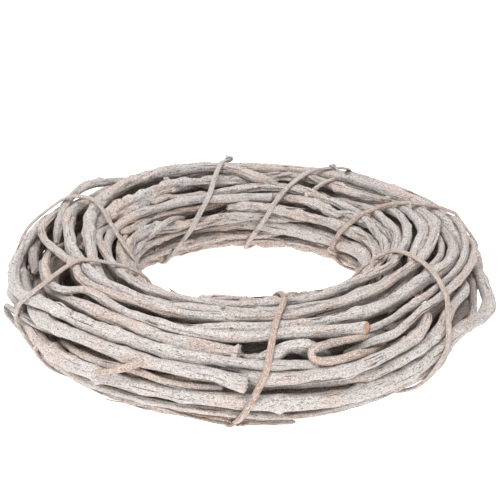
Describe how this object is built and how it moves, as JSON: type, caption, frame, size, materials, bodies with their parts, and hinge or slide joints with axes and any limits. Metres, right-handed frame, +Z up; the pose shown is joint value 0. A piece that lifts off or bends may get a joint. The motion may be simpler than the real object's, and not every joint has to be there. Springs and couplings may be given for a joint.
{
  "type": "twig wreath",
  "caption": "Round wreath of whitewashed vine shoots bent round a ring, lying over and under each other and bound with split strips.",
  "frame": {"origin": "under the middle of the whole wreath, on the surface that it rests on", "axes": "+Z up through the wreath's hole; -Y is the side nearest the camera in the picture"},
  "size_m": [0.3986, 0.4, 0.0866],
  "materials": {
    "whitewashed_bark": "matt whitewash over dry bark with fine lengthwise grain",
    "pale_pink_bark": "thin matt whitewash, warmer bark showing through",
    "bare_brown_bark": "dry brown bark with little whitewash",
    "split_strip": "matt split vine, fibrous along its length"
  },
  "bodies": {
    "root": {"inner_rim_shoot": "whitewashed_bark", "top_shoot": "whitewashed_bark", "crossing_shoot": "whitewashed_bark", "front_top_thick_shoot": "whitewashed_bark", "arching_shoot": "whitewashed_bark", "torn_end_shoot": "whitewashed_bark", "front_outer_shoot": "whitewashed_bark", "front_right_thick_shoot": "whitewashed_bark", "knobbed_end_shoot": "whitewashed_bark", "long_outline_shoot": "whitewashed_bark", "thin_front_tendril": "bare_brown_bark", "short_orange_shoot": "bare_brown_bark", "low_front_shoot": "whitewashed_bark", "bottom_front_shoot": "whitewashed_bark", "bottom_left_shoot": "pale_pink_bark", "side_loop_tendril": "bare_brown_bark", "forked_shoot_upper": "whitewashed_bark", "forked_shoot_lower": "whitewashed_bark", "hooked_tendril": "bare_brown_bark", "gnarled_branch": "whitewashed_bark", "front_low_thick_shoot": "whitewashed_bark", "right_inner_shoot": "whitewashed_bark", "right_top_shoot": "whitewashed_bark", "right_short_shoot": "whitewashed_bark", "broken_end_shoot": "whitewashed_bark", "back_top_shoot": "whitewashed_bark", "left_top_shoot": "whitewashed_bark", "pale_end_shoot": "whitewashed_bark", "reddish_shoot": "bare_brown_bark", "back_upper_inner_shoot": "pale_pink_bark", "back_middle_inner_shoot": "pale_pink_bark", "back_lower_inner_shoot": "pale_pink_bark", "wide_smooth_shoot": "pale_pink_bark", "back_bottom_inner_shoot": "pale_pink_bark", "back_right_inner_shoot": "pale_pink_bark", "pale_pointed_tip": "whitewashed_bark", "outer_back_shoot_1": "whitewashed_bark", "outer_back_shoot_2": "whitewashed_bark", "outer_back_shoot_3": "whitewashed_bark", "outer_back_shoot_4": "whitewashed_bark", "underside_shoot_1": "pale_pink_bark", "underside_shoot_2": "pale_pink_bark", "underside_shoot_3": "pale_pink_bark", "underside_shoot_4": "pale_pink_bark", "underside_shoot_5": "pale_pink_bark", "core_shoot_1": "bare_brown_bark", "core_shoot_2": "bare_brown_bark", "core_shoot_3": "bare_brown_bark", "core_shoot_4": "bare_brown_bark", "core_shoot_5": "bare_brown_bark", "core_shoot_6": "bare_brown_bark", "core_shoot_7": "bare_brown_bark", "core_shoot_8": "bare_brown_bark", "front_strip": "split_strip", "back_left_strip": "split_strip", "back_strip": "split_strip", "back_right_strip": "split_strip", "right_strip": "split_strip", "front_left_strip": "split_strip", "left_strip": "split_strip"}
  },
  "joints": []
}
